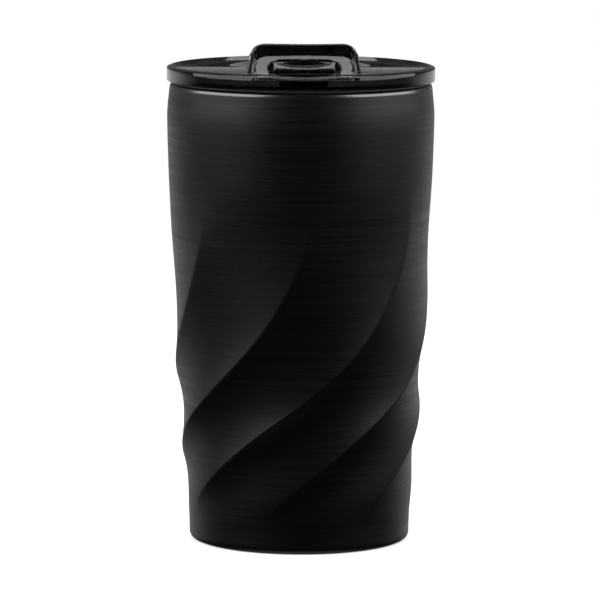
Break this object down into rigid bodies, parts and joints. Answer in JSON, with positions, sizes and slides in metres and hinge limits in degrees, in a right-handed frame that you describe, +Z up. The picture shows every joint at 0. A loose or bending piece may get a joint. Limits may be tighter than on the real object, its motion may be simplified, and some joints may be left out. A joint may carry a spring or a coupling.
{
  "type": "insulated tumbler with lid",
  "caption": "Double-walled insulated steel tumbler with a spiral-ridged wall and a push-on lid whose hinged flip lever opens the drinking hole.",
  "frame": {"origin": "centre of the circle on which the tumbler stands, at the floor", "axes": "+Z up along the tumbler's axis, -Y towards the drinking side where the lever's grip stands, +X to the right of someone who looks along +Y"},
  "size_m": [0.085, 0.085, 0.1602],
  "materials": {
    "coated_steel": "satin black coating over fine horizontal brushing",
    "liner_steel": "turned satin stainless steel",
    "base_steel": "satin black coating",
    "seal_glass": "fused glass bead",
    "getter_powder": "pressed metal powder, dull",
    "smoky_plastic": "glossy smoky clear copolyester",
    "plug_plastic": "fine matt black polypropylene",
    "silicone": "soft black silicone, matt",
    "pin_steel": "polished stainless steel"
  },
  "bodies": {
    "cup": {"outer_shell": "coated_steel", "inner_liner": "liner_steel", "base_plate": "liner_steel", "base_cover": "base_steel", "exhaust_seal": "seal_glass", "getter_pellet": "getter_powder", "getter_clip": "liner_steel"},
    "lid": {"lid_cover": "smoky_plastic", "lid_plug": "plug_plastic", "lid_gasket": "silicone", "hinge_pin": "pin_steel"},
    "lever": {"flip_lever": "smoky_plastic", "drink_stopper": "silicone", "vent_stopper": "silicone"}
  },
  "joints": [
    {"name": "lid_lift", "type": "slide", "parent": "cup", "child": "lid", "axis": [0, 0, 1], "range_m": [0, 0.05]},
    {"name": "lever_flip", "type": "hinge", "parent": "lid", "child": "lever", "pos_m": [0, 0.005, 0.1524], "axis": [-1, 0, 0], "range_deg": [0, 120]}
  ]
}
